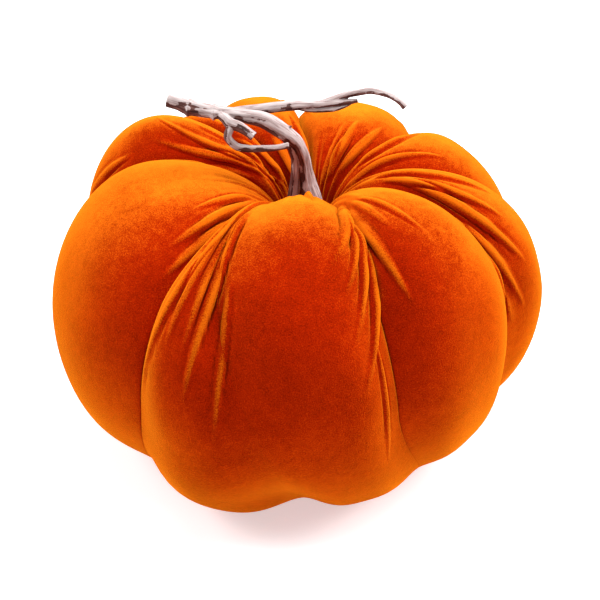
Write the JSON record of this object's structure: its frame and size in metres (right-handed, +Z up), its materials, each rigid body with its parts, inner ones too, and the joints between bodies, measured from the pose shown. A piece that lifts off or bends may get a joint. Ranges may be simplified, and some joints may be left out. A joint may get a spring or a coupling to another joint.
{
  "type": "velvet pumpkin",
  "caption": "Filled velvet pumpkin with uneven drawn-in lobes, gathered folds at the crown and a dried natural vine stem with curling tendrils.",
  "frame": {"origin": "centre of the body's footprint, on the surface it rests on", "axes": "+Z up, +X to the right of the picture's view, -Y towards that view"},
  "size_m": [0.2926, 0.2952, 0.21],
  "materials": {
    "velvet": "orange cotton velvet with a short dense pile, deep red-orange where it is seen face on and lighter, golden orange at grazing angles and on folds",
    "dried_wood": "dried pumpkin vine, grey-white and mauve ribs with dark brown furrows, matt"
  },
  "bodies": {
    "root": {"velvet_body": "velvet", "stem": "dried_wood"}
  },
  "joints": []
}
